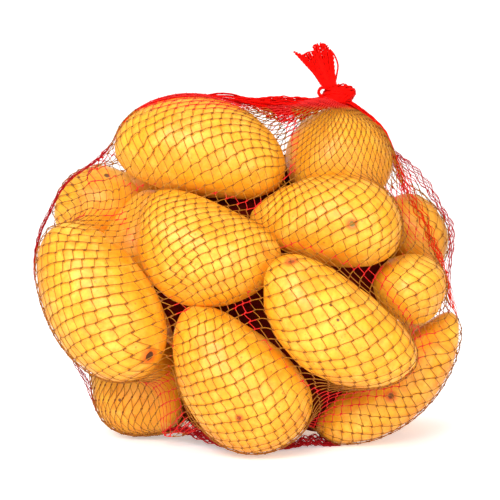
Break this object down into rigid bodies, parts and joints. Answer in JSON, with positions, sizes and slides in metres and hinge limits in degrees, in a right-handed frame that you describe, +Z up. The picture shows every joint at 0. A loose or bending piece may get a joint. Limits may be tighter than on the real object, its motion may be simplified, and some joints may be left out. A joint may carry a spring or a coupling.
{
  "type": "net bag of potatoes",
  "caption": "Standing red knitted net bag filled with washed yellow potatoes, tied in a knot at the top right with a short flared tail.",
  "frame": {"origin": "on the ground, at the centre of the bounding box of the whole bag", "axes": "+Z up, -Y towards the viewer of the shown front, +X towards the knot's side, the right of the shown front"},
  "size_m": [0.2412, 0.162, 0.2285],
  "materials": {
    "potato_in_red_net": "washed yellow potato skin under a thin red plastic net"
  },
  "bodies": {
    "root": {"net_bag": "potato_in_red_net"}
  },
  "joints": []
}
